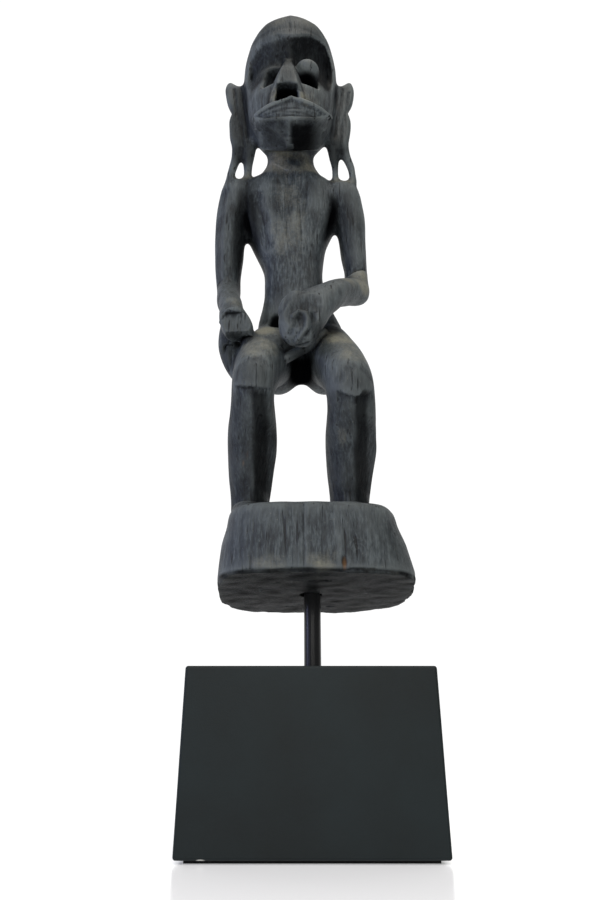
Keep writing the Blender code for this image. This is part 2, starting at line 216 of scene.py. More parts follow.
# %% The eyes, and the pits under them
EYE = (16.0, 461.5, -56.5, 11.0, 10.5, 10.5)  # middle across, height, depth; half sizes across, deep, tall
SWELLING = (-20.5, 463.5, 3.6, 10.0, 8.5)  # middle across, height; rise; spread across and up
PITS = (  # from and to across, from and to in height, depth, slant, softness of the edge
    (4.0, 24.5, 440.0, 457.0, -45.0, 0.0, 3.0),
    (-21.0, -6.0, 442.0, 463.0, -50.0, 0.3, 9.0),
)


def dome(across, z, eye):
    middle, height, depth, wide, deep, tall = eye
    inside = 1 - ((across - middle) / wide) ** 2 - ((z - height) / tall) ** 2
    return np.where(inside > 0, depth - deep * np.sqrt(np.clip(inside, 0, 1)), 1e3)


def window(value, low, high, edge):
    return soft_step((value - low) / edge + 0.5) * soft_step((high - value) / edge + 0.5)


# %% [markdown]
# The nose is a wedge that widens downwards and is sawn off flat below. A half width and a depth at a few
# heights describe it. The wings are two narrow ridges that run down beside the black recess under it.

# %% The nose, its underside and its wings
NOSE_Z = (425.5, 443, 454, 461, 466, 477, 492)
NOSE_HALF_WIDTH = (9.4, 6.9, 4.2, 2.4, 2.4, 4.6, 6.0)
NOSE_Y = (-75.0, -74.0, -72.3, -70.0, -65.8, -58.5, -45.0)
NOSE_UNDERSIDE = 425.5
UNDER_NOSE_Y = -54.0


def beside_nose(across, z):
    return across - np.interp(z, (425, 470), (-1.8, -0.8))


def nose(across, z):
    half = np.interp(z, NOSE_Z, NOSE_HALF_WIDTH)
    front = np.interp(z, NOSE_Z, NOSE_Y)
    beside = np.abs(beside_nose(across, z))
    over = np.clip(beside - half, 0, None)
    return front + 0.5 * np.clip(beside / half, 0, 1) ** 2 + over * 2.3


def wing_place(z):
    return 9.9 + (NOSE_UNDERSIDE - z) * 0.14


# %% [markdown]
# The lips are one lens-shaped plate with a raised rim, standing out on the jaw. Two rows of places give the
# upper and the lower rim, and the plate between them is a straight ramp. The face field joins all of this.

# %% The lens of the mouth
LIP_TOP_ACROSS = (-33.5, -27.8, -20.3, -9.2, 1.7, 11.3, 20.0, 28.7, 36.6)
LIP_TOP_Z = (406.7, 405.6, 406.6, 409.0, 412.8, 410.7, 409.4, 408.8, 410.5)
LIP_TOP_Y = (-55.8, -62.4, -67.4, -71.3, -72.8, -71.2, -68.5, -63.9, -55.2)
LIP_LOW_ACROSS = (-33.5, -23.3, -11.3, 1.7, 12.2, 23.6, 35.1)
LIP_LOW_Z = (405.7, 396.2, 393.0, 393.4, 393.2, 396.3, 408.1)
LIP_LOW_Y = (-54.9, -62.8, -66.6, -68.1, -67.0, -63.3, -55.4)


def mouth(across, z):
    top_z = np.interp(across, LIP_TOP_ACROSS, LIP_TOP_Z)
    top_y = np.interp(across, LIP_TOP_ACROSS, LIP_TOP_Y)
    low_z = np.interp(across, LIP_LOW_ACROSS, LIP_LOW_Z)
    low_y = np.interp(across, LIP_LOW_ACROSS, LIP_LOW_Y)
    share = np.clip((z - low_z) / np.maximum(top_z - low_z, 0.5), 0, 1)
    gap = np.minimum(z - low_z, top_z - z)
    return low_y + (top_y - low_y) * share + 1.9 * soft_step((gap - 0.9) / 1.1), low_z, top_z


# %% The whole face as one field
def face(across, z):
    skin = head_skin(across, z)
    depth = skin + dish(across, z)
    middle, height, rise, wide, tall = SWELLING
    depth = depth - rise * np.exp(-((across - middle) / wide) ** 2 - ((z - height) / tall) ** 2)
    for low, high, foot, top, bottom, slant, soft in PITS:
        inside = window(across - slant * (z - foot - 9), low, high, soft) * window(z, foot, top, 0.83 * soft)
        depth = depth + (bottom - depth) * inside
    depth = np.minimum(depth, dome(across, z, EYE))
    beside = beside_nose(across, z)
    nose_foot = NOSE_UNDERSIDE + 1.6 * (1 - np.clip(beside / 9.0, -1, 1) ** 2)
    over_nose = z > nose_foot
    depth = np.where(over_nose, np.minimum(depth, nose(across, z)), depth)
    lip_z = np.interp(across, LIP_TOP_ACROSS, LIP_TOP_Z)
    lip_y = np.interp(across, LIP_TOP_ACROSS, LIP_TOP_Y)
    cheek = head_skin(across, lip_z + 9)
    rise = soft_step((z - lip_z) / 9)
    depth = np.where(z < lip_z + 9, lip_y + (cheek - lip_y) * rise, depth)
    under = (z <= nose_foot) & (z > lip_z)
    place = wing_place(z)
    wing = skin - 3.0 + 3.0 * ((np.abs(beside) - place) / 5.0) ** 2
    depth = np.where(under & (np.abs(np.abs(beside) - place) < 5.0), np.minimum(depth, wing), depth)
    recess = under & (np.abs(beside) < place - 1.6) & (z > lip_z + 1.4)
    return np.where(recess, UNDER_NOSE_Y, depth)


# %% [markdown]
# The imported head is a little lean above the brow. It is filled out first, and the crown gets the low peak
# that the carver left, sunk a little on both sides of it.

# %% Filling out the crown
HIGHEST = 549.0

points, normals = read_points(figure)
fuller = soft_step((points[:, 2] - 450) / 35) * soft_step((550 - points[:, 2]) / 10)
points[:, 0] += fuller * (0.034 * (points[:, 0] - FACE_MIDDLE) - 0.5)
crown = soft_step((points[:, 2] - 500) / 26) * soft_step((-16 - points[:, 1]) / 16)
points[:, 1] -= 1.5 * crown
points[:, 2] = np.minimum(points[:, 2] + 1.2 * crown, np.maximum(points[:, 2], HIGHEST))
beside_peak = np.clip(np.abs(points[:, 0] + 18.0) / 23, 0, 1)
points[:, 2] -= 2.2 * np.sin(np.pi * beside_peak) * soft_step((points[:, 2] - 506) / 26)
print("crown filled out:", int((crown > 0).sum()), "points")

# %% [markdown]
# Now the clay in front of the head is moved in or out to the field, and not sideways, so no point passes
# another. Towards the sides of the head the move fades out. Under the lips the jaw is cut back at a slant.

# %% Moving the clay of the face to the field
across = points[:, 0] - FACE_MIDDLE
z = points[:, 2]
lens_depth, lens_low, lens_top = mouth(across, z)
reach = head_half_width(z) - 0.5
reach = np.where((z > 390) & (z < 417), np.maximum(reach, 38.5), reach)
front = (points[:, 1] < np.interp(z, HEAD_Z, HEAD_MIDDLE_Y) - 4) & (z > 385) & (z < 512)
front &= (np.abs(across) < reach) & (z > lens_low)
edge = soft_step((reach - 0.3 - np.abs(across)) / 3.0) * soft_step((511 - z) / 6.0)
target = np.where(z > lens_top, face(across, z), lens_depth)
points[front, 1] += ((target - points[:, 1]) * edge)[front]
print("face moved:", int(front.sum()), "points")

# %% Cutting the jaw back under the lips
jaw = (z <= lens_low) & (z > 383) & (np.abs(across) < 37) & (points[:, 1] < -30)
corner = np.abs(across / 36) ** 4
slant = 1.15 + 2.0 * corner
under_lip = np.interp(across, LIP_LOW_ACROSS, LIP_LOW_Y) + (lens_low - z) * slant + 0.22 * np.abs(across)
points[jaw, 1] = np.maximum(points[jaw, 1], under_lip[jaw])
chin = (np.abs(across) < 30) & (points[:, 1] > -46) & (points[:, 1] < -17)
chin &= (z < 404) & (z > 372) & (normals[:, 2] < -0.35)
raised = 379 + 1.05 * (points[:, 1] + 45)
points[chin, 2] = np.maximum(z, np.minimum(raised, 402))[chin]
write_points(figure, points)
print("jaw and chin moved:", int(jaw.sum()), "and", int(chin.sum()), "points")

# %% [markdown]
# Under the hand at the groin a low fold runs across from thigh to thigh. It crosses from one form to
# another, so it is a round bar along a curve, turned into a mesh and joined, and a second remesh makes one
# clay of both. Moving the clay that is there could not make a bar that stands free of what is behind it.

# %% The fold under the hand, joined to the clay
FOLD = ((-21.5, -29, 178), (-14, -28.5, 183), (-6.5, -27.5, 187.7), (3.8, -27, 196), (11.2, -28, 205.6))
FOLD_RADIUS = 4.2

bar = bpy.data.curves.new("fold", "CURVE")
bar.dimensions = "3D"
bar.bevel_depth = FOLD_RADIUS * PART
bar.use_fill_caps = True
spline = bar.splines.new("POLY")
spline.points.add(len(FOLD) - 1)
for spot, place in zip(spline.points, FOLD):
    spot.co = (*(np.array(place) * PART + ORIGIN), 1.0)
fold = bpy.data.objects.new("fold", bar)
bpy.context.scene.collection.objects.link(fold)
pick(fold)
bpy.ops.object.convert(target="MESH")
figure.select_set(True)
bpy.context.view_layer.objects.active = figure
bpy.ops.object.join()
remesh(figure, FINE_CLAY, 1, 0.4)
print("fold joined; clay points now", len(figure.data.vertices))

# %% [markdown]
# Long cuts, ridges and dents come next. A gouge line is a groove with a soft or a sharp bottom, a ridge is
# the same with the clay raised, and a knife facet takes off all that stands over a plane within its reach.

# %% The carver's tools
points, normals = read_points(figure)


def near(centre, reach):
    return np.where((np.abs(points - np.array(centre, float)) < np.array(reach, float)).all(axis=1))[0]


def groove(line, width, depth, sharp=False):
    line = np.array(line, float)
    middle = (line.min(0) + line.max(0)) / 2
    reach = (line.max(0) - line.min(0)) / 2 + width
    chosen = near(middle, reach)
    away = distance_to_line(points[chosen], line) / width
    share = np.clip(1 - away, 0, 1) if sharp else soft_step(1 - away)
    points[chosen] -= normals[chosen] * (depth * share)[:, None]


def ridge(line, width, height):
    groove(line, width, -height)


def draped(line):
    spots = []
    for x, z in line:
        column = (np.abs(points[:, 0] - x) < 1.2) & (np.abs(points[:, 2] - z) < 1.2)
        spots.append((x, points[column, 1].min(), z))
    return spots


# %% [markdown]
# A dent is a soft thumb mark. A facet is one stroke of a flat knife: all that stands over its plane is cut
# away, and the cut fades out before the edge of its reach, as the blade leaves the wood.

# %% Dents and knife facets
def dent(centre, radii, depth):
    chosen = near(centre, radii)
    away = np.linalg.norm((points[chosen] - np.array(centre, float)) / np.array(radii, float), axis=1)
    points[chosen] -= normals[chosen] * (depth * soft_step(1 - away))[:, None]


def facet(on_plane, facing, reach):
    facing = np.array(facing, float) / np.linalg.norm(facing)
    chosen = near(on_plane, reach)
    chosen = chosen[normals[chosen] @ facing > 0.1]
    over = (points[chosen] - np.array(on_plane, float)) @ facing
    side = ((points[chosen] - np.array(on_plane, float)) / np.array(reach, float)) ** 2
    fade = 1 - soft_step((np.sqrt(side.max(axis=1)) - 0.8) / 0.2)
    cut = np.clip(over, 0, None) * fade
    points[chosen] -= facing * cut[:, None]


# %% [markdown]
# A stepped edge makes one form overlap another, as a kneecap does a shin. The clay on one side of a line
# goes back at once and comes forward again slowly, so that only the line itself shows.

# %% One form stepped back behind another
def step_back(line, depth, fade, front=-34, upward=False):
    x, low = np.array(line, float).T
    band = (points[:, 2] > low.min() - fade - 2) & (points[:, 2] < low.max() + (fade if upward else 0) + 2)
    chosen = np.where((points[:, 0] > x[0]) & (points[:, 0] < x[-1]) & (points[:, 1] < front) & band)[0]
    past = np.interp(points[chosen, 0], x, low) - points[chosen, 2]
    past = -past if upward else past
    ends = soft_step(np.minimum(points[chosen, 0] - x[0], x[-1] - points[chosen, 0]) / 4)
    points[chosen, 1] += depth * ends * soft_step((past + 0.4) / 1.1) * (1 - soft_step(past / fade))


# %% [markdown]
# Handling rounds a carving off. Each point is moved towards the middle of its neighbours, many times over,
# which is what a smoothing brush does, and the effect is held within an oval round one place.

# %% Rubbing a place smooth
def softened(points, edges, passes):
    count = np.bincount(edges.ravel(), minlength=len(points)).astype(float)
    result = points.copy()
    for _ in range(passes):
        total = np.zeros_like(result)
        for axis in range(3):
            total[:, axis] = np.bincount(edges[:, 0], result[edges[:, 1], axis], len(points))
            total[:, axis] += np.bincount(edges[:, 1], result[edges[:, 0], axis], len(points))
        result = 0.5 * result + 0.5 * total / count[:, None]
    return result


def edges_of(piece):
    edges = np.empty(len(piece.data.edges) * 2, np.int32)
    piece.data.edges.foreach_get("vertices", edges)
    return edges.reshape(-1, 2)


def rub_smooth(centre, reach, passes):
    away = np.linalg.norm((points - np.array(centre, float)) / np.array(reach, float), axis=1)
    chosen = np.where(away < 1.6)[0]
    number = np.full(len(points), -1)
    number[chosen] = np.arange(len(chosen))
    edges = number[edges_of(figure)]
    edges = edges[(edges >= 0).all(axis=1)]
    share = soft_step((1.2 - away[chosen]) / 0.5)[:, None]
    points[chosen] += share * (softened(points[chosen], edges, passes) - points[chosen])


# %% [markdown]
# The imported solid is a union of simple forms, so it has hard creases where the neck meets the trunk and
# where the forearm leaves the elbow. On the real figure both are one flowing form, so they are rubbed first.

# %% The neck and the elbow, rubbed smooth
RUBBED = (  # middle, reach and passes
    ((-17.5, -24, 384), (32, 28, 16), 60),
    ((-17.5, -17, 389), (30, 18, 20), 120),
    ((44, -14, 272), (19, 16, 11), 50),
)
for middle, reach, passes in RUBBED:
    rub_smooth(middle, reach, passes)
print("places rubbed smooth:", len(RUBBED))

# %% [markdown]
# Two slanting knife planes meet under the jaw. A crease runs down the flank, and a soft one marks each
# armpit, where the arms were only part cut free from the trunk.

# %% The planes of the jaw, the flank and the armpits
facet((-34.5, -40.0, 391.4), (-0.61, 0.0, -0.79), (15, 24, 16))
facet((-0.5, -40.0, 391.4), (0.61, 0.0, -0.79), (15, 24, 16))
groove([(-48, -17.5, 354), (-43, -17.5, 328), (-38, -15.5, 302)], 8.0, 1.7, True)
ARMPITS = (
    ((-54.5, -9, 352), (-57.0, -8, 338), (-55.5, -6, 308)),
    ((21.5, -9, 352), (20.0, -8, 334), (19.0, -7, 316)),
)
for crease in ARMPITS:
    groove(crease, 6.0, 2.0)
print("creases of the armpits:", len(ARMPITS))

# %% [markdown]
# The stretched lobes hang in strands. A sharp gouge line down each side of a strand sets it off.

# %% The strands of the ears
EARS = (
    ((-72, -24, 478), (-69, -25, 450), (-63, -25.5, 425), (-60, -25, 405)),
    ((-66, -24, 480), (-63, -25, 455), (-59, -25, 430), (-57, -24.5, 410)),
    ((32, -24.5, 478), (30, -25, 455), (25.5, -25, 430), (22, -24, 408)),
    ((38, -24, 474), (35, -25, 450), (30, -25, 428), (29, -24, 405)),
)
for strand in EARS:
    groove(strand, 1.8, 0.9, True)
print("gouge lines in the ears:", len(EARS))

# %% [markdown]
# The trunk was trimmed flat in front with long strokes. As the log dried it split: one split runs down the
# breastbone, a fainter one beside it, and one down the forehead.

# %% The flat of the chest, and the long splits
facet((-20.0, -19.2, 330.0), (0.0, -1.0, 0.0), (20, 12, 56))
dent((-22.5, -20.5, 371.0), (15, 9, 10), 0.9)
groove([(-21.5, -20.7, 357), (-21.2, -20, 330), (-20.2, -18, 300), (-20.1, -15.7, 265)], 0.8, 0.9, True)
groove([(-12.5, -20.2, 380), (-10.7, -20.5, 357), (-8.9, -19.5, 335), (-7.2, -17.2, 304)], 1.3, 0.5)
groove([(-18.4, -48, 541), (-18.6, -58, 528), (-18.6, -65, 514), (-18.2, -67, 499)], 1.0, 0.8, True)
print("trunk from", round(points[:, 1].min(), 1), "to", round(points[:, 1].max(), 1), "parts deep")

# %% [markdown]
# The carver left a long plane on the hanging arm and one down each shin, on the viewer's right. Such a plane
# follows the limb, so it is cut by the limb's own middle and half sizes at each height, and not by one flat
# stroke of the knife.

# %% The planes of the arm and the shins
LIMBS = {  # rows of x, y, height, half width and half depth
    "right_arm": (
        (-65, 0, 367, 18.5, 17), (-71.5, 2, 340, 14.8, 16), (-72.7, 4, 305, 13.1, 15),
        (-72.2, 6, 271, 10.7, 13.5), (-70, -7, 249, 10, 12),
    ),
    "right_shin": (
        (-44.6, -30, 124, 18, 18.5), (-45.2, -21, 105, 18.9, 20), (-45.9, -16, 83, 16.7, 18),
        (-46, -14, 64, 14.4, 15), (-46, -15, 46, 14, 15),
    ),
    "left_shin": (
        (29.6, -30, 122, 19.2, 18.5), (29.7, -21, 104, 19.6, 20), (28.6, -16, 82, 16.8, 18),
        (28, -14, 64, 14.6, 15), (28, -15, 46, 14.2, 15),
    ),
}
PLANES = (  # limb, the way the plane faces, how far out it lies, and the heights of its foot and top
    ("right_arm", (-0.75, -0.66), 0.88, 258, 374),
    ("right_shin", (0.78, -0.63), 0.80, 62, 124),
    ("left_shin", (0.78, -0.63), 0.80, 62, 124),
)


def limb_plane(limb, facing, limit, foot, top):
    rows = np.array(LIMBS[limb][::-1], float)
    height = points[:, 2]
    middle = np.stack([np.interp(height, rows[:, 2], rows[:, k]) for k in (0, 1)], axis=1)
    radii = np.stack([np.interp(height, rows[:, 2], rows[:, k]) for k in (3, 4)], axis=1)
    place = (points[:, :2] - middle) / radii
    chosen = np.where((height > foot) & (height < top) & (np.linalg.norm(place, axis=1) < 1.2))[0]
    facing = np.array(facing, float) / np.linalg.norm(facing)
    over = np.clip(place[chosen] @ facing - limit, 0, None)
    over *= soft_step((height[chosen] - foot) / 12) * soft_step((top - height[chosen]) / 14)
    points[chosen, :2] -= (over[:, None] * facing) * radii[chosen]


for plane in PLANES:
    limb_plane(*plane)
print("planes along limbs:", len(PLANES))

# %% [markdown]
# The forearm crosses the belly over a stepped edge. The hand ends in a blunt, slightly flat front with a
# raised hook on it, whose line is draped: it is given from the front, and each place on it takes its depth
# from the clay that is there.

# %% The bent arm's edge, and the hand at the groin
step_back(((25, 270), (30, 272), (38, 275), (46, 278), (53, 281)), 2.2, 22, front=4, upward=True)
ridge([(-21, -44, 212), (-19, -45, 219), (-13, -46, 225)], 9.0, 3.5)
facet((-8.0, -53.4, 206.0), (0.0, -1.0, 0.08), (24, 12, 30))
HOOK = [(-13.8, 202), (-9.8, 206), (-5.0, 204.5), (-3.2, 198), (-4.2, 191), (-7.0, 186), (-12.0, 181)]
ridge(draped(HOOK), 3.0, 2.0)
groove(draped([(-9.8, 199), (-11.5, 194), (-16, 188)]), 4.0, 1.1)
groove(draped([(0.8, 205), (1.6, 197), (0.0, 190), (-4, 185)]), 2.4, 1.8, True)
ridge([(4.2, -53, 203), (4.6, -51, 196), (2.5, -47, 187)], 2.6, 0.9)
dent((-29.5, -17.0, 221.0), (7, 11, 10), 7.0)
groove([(-24, -30, 189), (-17, -38, 184), (-10.4, -44.4, 180), (-2, -47, 181)], 2.2, 2.6)
print("places along the hook:", len(HOOK))

# %% [markdown]
# The other hand is a flat plate with a slanting end, four short finger lines and a cuff line at the wrist.
# Two facets cut the plate, and a groove with a low ridge beside it makes the cuff.

# %% The hand on the thigh, with a cuff line over it
facet((-58.0, -38.4, 204.0), (-0.05, -1.0, 0.10), (16, 9, 14))
facet((-57.0, -38.6, 197.2), (0.0, -0.28, -0.96), (18, 15, 13))
CUFF = [
    (-73, -34, 207), (-71, -37.5, 211.5), (-67, -39.6, 215),
    (-62, -40.4, 216.5), (-56, -39.6, 217), (-52, -37, 216),
]
FINGER_LINES = (-66.5, -61.0, -55.5, -50.5)
groove(CUFF, 1.5, 1.5)
ridge([(x + 0.5, y + 1.4, z + 2.8) for x, y, z in CUFF], 1.8, 1.1)
for x in FINGER_LINES:
    groove([(x, -39.0, 200.0), (x + 0.5, -38.5, 197), (x + 0.8, -33, 196.5)], 1.2, 0.9, True)
groove([(-66, -27, 196), (-64.5, -27.5, 184), (-62, -27, 170)], 1.3, 1.2, True)
groove([(-70.5, -24, 200), (-68.5, -24.5, 186), (-65, -25, 170)], 1.4, 1.2, True)
print("finger lines:", len(FINGER_LINES))

# %% [markdown]
# Each kneecap is a cap that ends in a line over the shin. The line is a step, and a very shallow wide groove
# marks the cap's upper edge. The feet are cut off by a gentle slope that comes down, in front, to the top
# of the log.

# %% The kneecaps, stepped over the shins
CAP_WIDTH = 5.5
CAP_DEPTH = 0.45

step_back(((-58, 144), (-50, 141), (-43.5, 140), (-36, 140.4), (-30, 143)), 2.0, 30)
groove(draped([(-57, 150), (-54.5, 158), (-48, 165), (-40, 165.5), (-33, 161)]), CAP_WIDTH, CAP_DEPTH)
groove(draped([(20, 147), (24, 154), (31, 158), (38, 156), (44, 150)]), CAP_WIDTH, CAP_DEPTH)
step_back(((17, 139), (25, 134.5), (31.5, 132.8), (39, 135), (44.5, 141), (48, 149)), 1.5, 30)
print("kneecap edges", CAP_DEPTH, "parts deep")

# %% The feet, sloping down to the top of the log
feet = (points[:, 2] > 49) & (points[:, 2] < 64) & (points[:, 1] < -26)
over = points[:, 2] - (50.6 + 0.26 * (points[:, 1] + 60))
feet &= over > 0
points[feet, 2] -= (over * soft_step((-26 - points[:, 1]) / 5))[feet]
print("foot points cut flat:", int(feet.sum()))

# %% [markdown]
# The log base is a stump, a little wider at its foot. A worn line and a few chips run round the foot, a
# drying split runs up the front, and two knots show as low rings. The underside is sawn, and it slopes.

# %% The sides and the foot of the log
ROD_X = -2.2  # the rod's place across
FOOT_LINE = (
    (-70, -30, 2), (-60, -46, 1.5), (-45, -55, 1.2), (-33, -58.9, 1.2), (-18.6, -61, 2.2),
    (-2.4, -61.6, 2.6), (13.8, -61.5, 2.2), (30, -60.6, 2.6), (47.3, -57.6, 2.4), (62, -48, 2),
)
FRONT_SPLIT = ((-6.3, -59, 53), (-6.4, -60.3, 36), (-6.2, -61, 22), (-6.4, -61.5, 8), (-6.4, -61, 1))

high = soft_step((points[:, 2] - 24) / 20) * soft_step((57 - points[:, 2]) / 7)
low = soft_step((30 - points[:, 2]) / 30)
side = soft_step((np.abs(points[:, 0] - ROD_X) - 48) / 18) * np.sign(points[:, 0])
points[:, 0] += side * (2.0 * low * (points[:, 0] > 0) - 3.4 * high)
groove(FOOT_LINE, 2.2, 0.9)
groove(FRONT_SPLIT, 0.8, 0.6, True)
dent((20.2, -61.0, 8.0), (2.2, 4, 5.5), 2.0)
dent((69.0, -22.0, 3.0), (12, 16, 8), 3.6)
print("log from", round(points[:, 0].min(), 1), "to", round(points[:, 0].max(), 1), "parts wide")

# %% The rings of the knots
KNOTS = (  # radius and middle of each ring
    (3.2, (29.5, 13)), (5.4, (29.5, 13.5)), (7.6, (29.8, 14)),
    (4.0, (45, 8)), (7.5, (45, 9)), (11, (45.5, 10)),
)
for radius, (x, height) in KNOTS:
    ring = []
    for turn in np.radians(np.arange(-20, 201, 20)):
        beside = x + radius * math.cos(turn)
        front_y = -60.2 - 0.03 * (x - 20) + (beside - 20) ** 2 * 0.0042
        ring.append((beside, front_y, height + 1.3 * radius * math.sin(turn)))
    ridge(ring, 0.9, 0.28)
print("rings of knots:", len(KNOTS))

# %% The sawn underside
from_rod = np.hypot(points[:, 0] - ROD_X, points[:, 1])
under = (points[:, 2] < 4) & (normals[:, 2] < -0.6) & (from_rod > 20)
under |= (points[:, 2] < 12) & (normals[:, 2] < -0.1) & (from_rod > 6.7) & (from_rod <= 20)
points[under, 2] += ((-1.74 - 0.053 * points[:, 1]) - points[:, 2])[under]
write_points(figure, points)
print("underside points:", int(under.sum()))

# %% [markdown]
# The hand of the carver shows all over as shallow furrows that run with the grain. They are too many to
# draw one by one, so a wavy field that is long upwards and narrow around moves the skin in and out by a
# few tenths of a millimetre.

# %% Waves that run with the grain
def waves(points, sizes, seed):
    random = np.random.default_rng(seed)
    total = np.zeros(len(points))
    for _ in range(14):
        turn = random.normal(size=3)
        turn = turn / np.linalg.norm(turn) * 2 * np.pi / np.array(sizes, float)
        total += np.sin(points @ turn + random.uniform(0, 6.28))
    return total / math.sqrt(14)


# %% Furrows along the grain
TOP_LIMIT = 549.2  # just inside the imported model's height

points, normals = read_points(figure)
upright = 1 - np.abs(normals[:, 2])
furrows = 0.10 * upright * waves(points, (6.0, 6.0, 60.0), 3) + 0.20 * waves(points, (20.0, 20.0, 32.0), 5)
points += normals * furrows[:, None]
print("furrows up to", round(float(np.abs(furrows).max()), 2), "mm deep")

# %% Fine lines across the lips
across = points[:, 0] - FACE_MIDDLE
_, lens_low, lens_top = mouth(across, points[:, 2])
lens = (points[:, 1] < -52) & (points[:, 2] > lens_low + 1.2)
lens &= (points[:, 2] < lens_top - 1.2) & (np.abs(across) < 36)
points[lens, 1] += 0.22 * waves(points[lens], (22.0, 30.0, 2.6), 31)
print("points on the lips:", int(lens.sum()))

# %% The ragged foot and the saw marks under it
ragged = np.clip(waves(points, (11.0, 11.0, 14.0), 11), 0, 2) * soft_step((6 - points[:, 2]) / 6)
away = np.hypot(points[:, 0], points[:, 1])
points[:, :2] *= (1 - 1.3 * ragged * (away > 40) / np.maximum(away, 40))[:, None]
sawn = (points[:, 2] < 4) & (normals[:, 2] < -0.6) & (np.hypot(points[:, 0] - ROD_X, points[:, 1]) > 8)
points[:, 2] = np.minimum(points[:, 2], TOP_LIMIT)
marks = 0.12 * waves(points[sawn], (9.0, 13.0, 9.0), 12) + 0.2 * waves(points[sawn], (40.0, 25.0, 30.0), 13)
points[sawn, 2] += marks
write_points(figure, points)
print("sawn points:", int(sawn.sum()))

# %% [markdown]
# Even clay has as many points on a flat as on a crease. Decimating takes them from the flats first, so the
# carving keeps its detail in fewer faces. What it leaves without any area is dissolved afterwards.

# %% Thinning to the points that matter
MOST_TRIANGLES = 190000

thin = figure.modifiers.new("thin", "DECIMATE")
thin.ratio = min(1.0, MOST_TRIANGLES / (2.0 * len(figure.data.polygons)))
finish_modifiers(figure)
pick(figure)
bpy.ops.object.mode_set(mode="EDIT")
bpy.ops.mesh.select_all(action="SELECT")
bpy.ops.mesh.dissolve_degenerate(threshold=0.000005)
bpy.ops.mesh.quads_convert_to_tris()
bpy.ops.object.mode_set(mode="OBJECT")
mended = figure.data.validate(clean_customdata=False)
bpy.ops.object.shade_smooth()
print("mended:", mended, "figure triangles:", sum(len(p.vertices) - 2 for p in figure.data.polygons))


# %% [markdown]
# Colours are chosen as sRGB hex values, the way a picture shows them, and shaders want linear ones. One
# function turns them. Patterns are chosen by their size in millimetres, and a noise node wants how many fit
# in a metre, so another function turns those. One more adds a node, sets it up and links it.

# %% Colours and nodes
PLACE = "ShaderNodeTexCoord"
MAPPING = "ShaderNodeMapping"
NOISE = "ShaderNodeTexNoise"
MATH = "ShaderNodeMath"
RANGE = "ShaderNodeMapRange"
RAMP = "ShaderNodeValToRGB"
MIX = "ShaderNodeMix"
BUMP = "ShaderNodeBump"
TIMES = {"operation": "MULTIPLY"}
TIMES_AND_ADD = {"operation": "MULTIPLY_ADD"}
COLOURS = {"data_type": "RGBA"}


def linear(code):
    values = [int(code[i:i + 2], 16) / 255 for i in (1, 3, 5)]
    values = [v / 12.92 if v <= 0.04045 else ((v + 0.055) / 1.055) ** 2.4 for v in values]
    return (*values, 1.0)


def per_metre(size_in_mm):
    return 1000.0 / size_in_mm


def new_material(name):
    material = bpy.data.materials.new(name)
    material.use_nodes = True
    tree = material.node_tree
    return material, tree, tree.nodes["Principled BSDF"]


def add_node(tree, kind, settings=None, inputs=None):
    node = tree.nodes.new(kind)
    for name, value in (settings or {}).items():
        setattr(node, name, value)
    for socket, value in (inputs or {}).items():
        if isinstance(value, bpy.types.NodeSocket):
            tree.links.new(value, node.inputs[socket])
        else:
            node.inputs[socket].default_value = value
    return node


def set_ramp(node, stops):
    ramp = node.color_ramp
    while len(ramp.elements) < len(stops):
        ramp.elements.new(0.5)
    for element, (place, code) in zip(ramp.elements, stops):
        element.position = place
        element.color = linear(code)


# %% [markdown]
# What the weather and many hands did, and the light and shade painted into the colour, is kept on the points
# of the figure, in four attributes that the material reads. Raised edges are rubbed lighter, and the brow's
# rim and the domed eye's lid get a painted highlight; hollows, undersides and creases hold soot and painted
# shade and stay black; ochre dust lies in creases and on what faces up, and a pale painted light lifts the
# neck and chest; a few chips show bare orange wood. The first wear, and the soot and painted shade, come
# from how far each point stands over its own softened surroundings, and the rest is placed one by one.

# %% How far each point stands out
points, normals = read_points(figure)
edges = edges_of(figure)
stands = ((points - softened(points, edges, 12)) * normals).sum(axis=1)
wide_stands = ((points - softened(points, edges, 60)) * normals).sum(axis=1)
wear_and_highlight = np.clip(stands / 0.35, 0, 1) * 0.5 + np.clip(wide_stands / 1.6, 0, 1) * 0.15
# A point that lies below its surroundings is painted darker, as painted shade in its crease or hollow.
soot_and_shade = np.clip(-stands / 0.5, 0, 1) * 0.5 + np.clip(-wide_stands / 2.0, 0, 1) * 0.5
print("a point stands out by at most", round(float(stands.max()), 2), "mm")


# %% Places that hands have rubbed
def from_place(middle, reach):
    return np.linalg.norm((points - np.array(middle, float)) / np.array(reach, float), axis=1)


HAND_PLATE = ((-58, -38, 204), (13, 7, 11))
NECK = ((-17.5, -18, 388), (32, 24, 24))
LIP_RIMS = (
    (LIP_TOP_ACROSS, LIP_TOP_Y, LIP_TOP_Z),
    (LIP_LOW_ACROSS, LIP_LOW_Y, LIP_LOW_Z),
)
wear_and_highlight = np.maximum(wear_and_highlight, 0.6 * soft_step((1.25 - from_place(*HAND_PLATE)) / 0.4))
for places, depths, heights in LIP_RIMS:
    rim_line = np.stack([np.array(places) + FACE_MIDDLE, depths, heights], axis=1)
    wear_and_highlight = np.maximum(wear_and_highlight, 0.9 * soft_step((2.6 - distance_to_line(points, rim_line)) / 1.2))
calm = soft_step((1.3 - from_place(*NECK)) / 0.6)
soot_and_shade *= 1 - 0.85 * calm
wear_and_highlight *= 1 - 0.8 * calm
print("points rubbed light:", int((wear_and_highlight > 0.3).sum()))
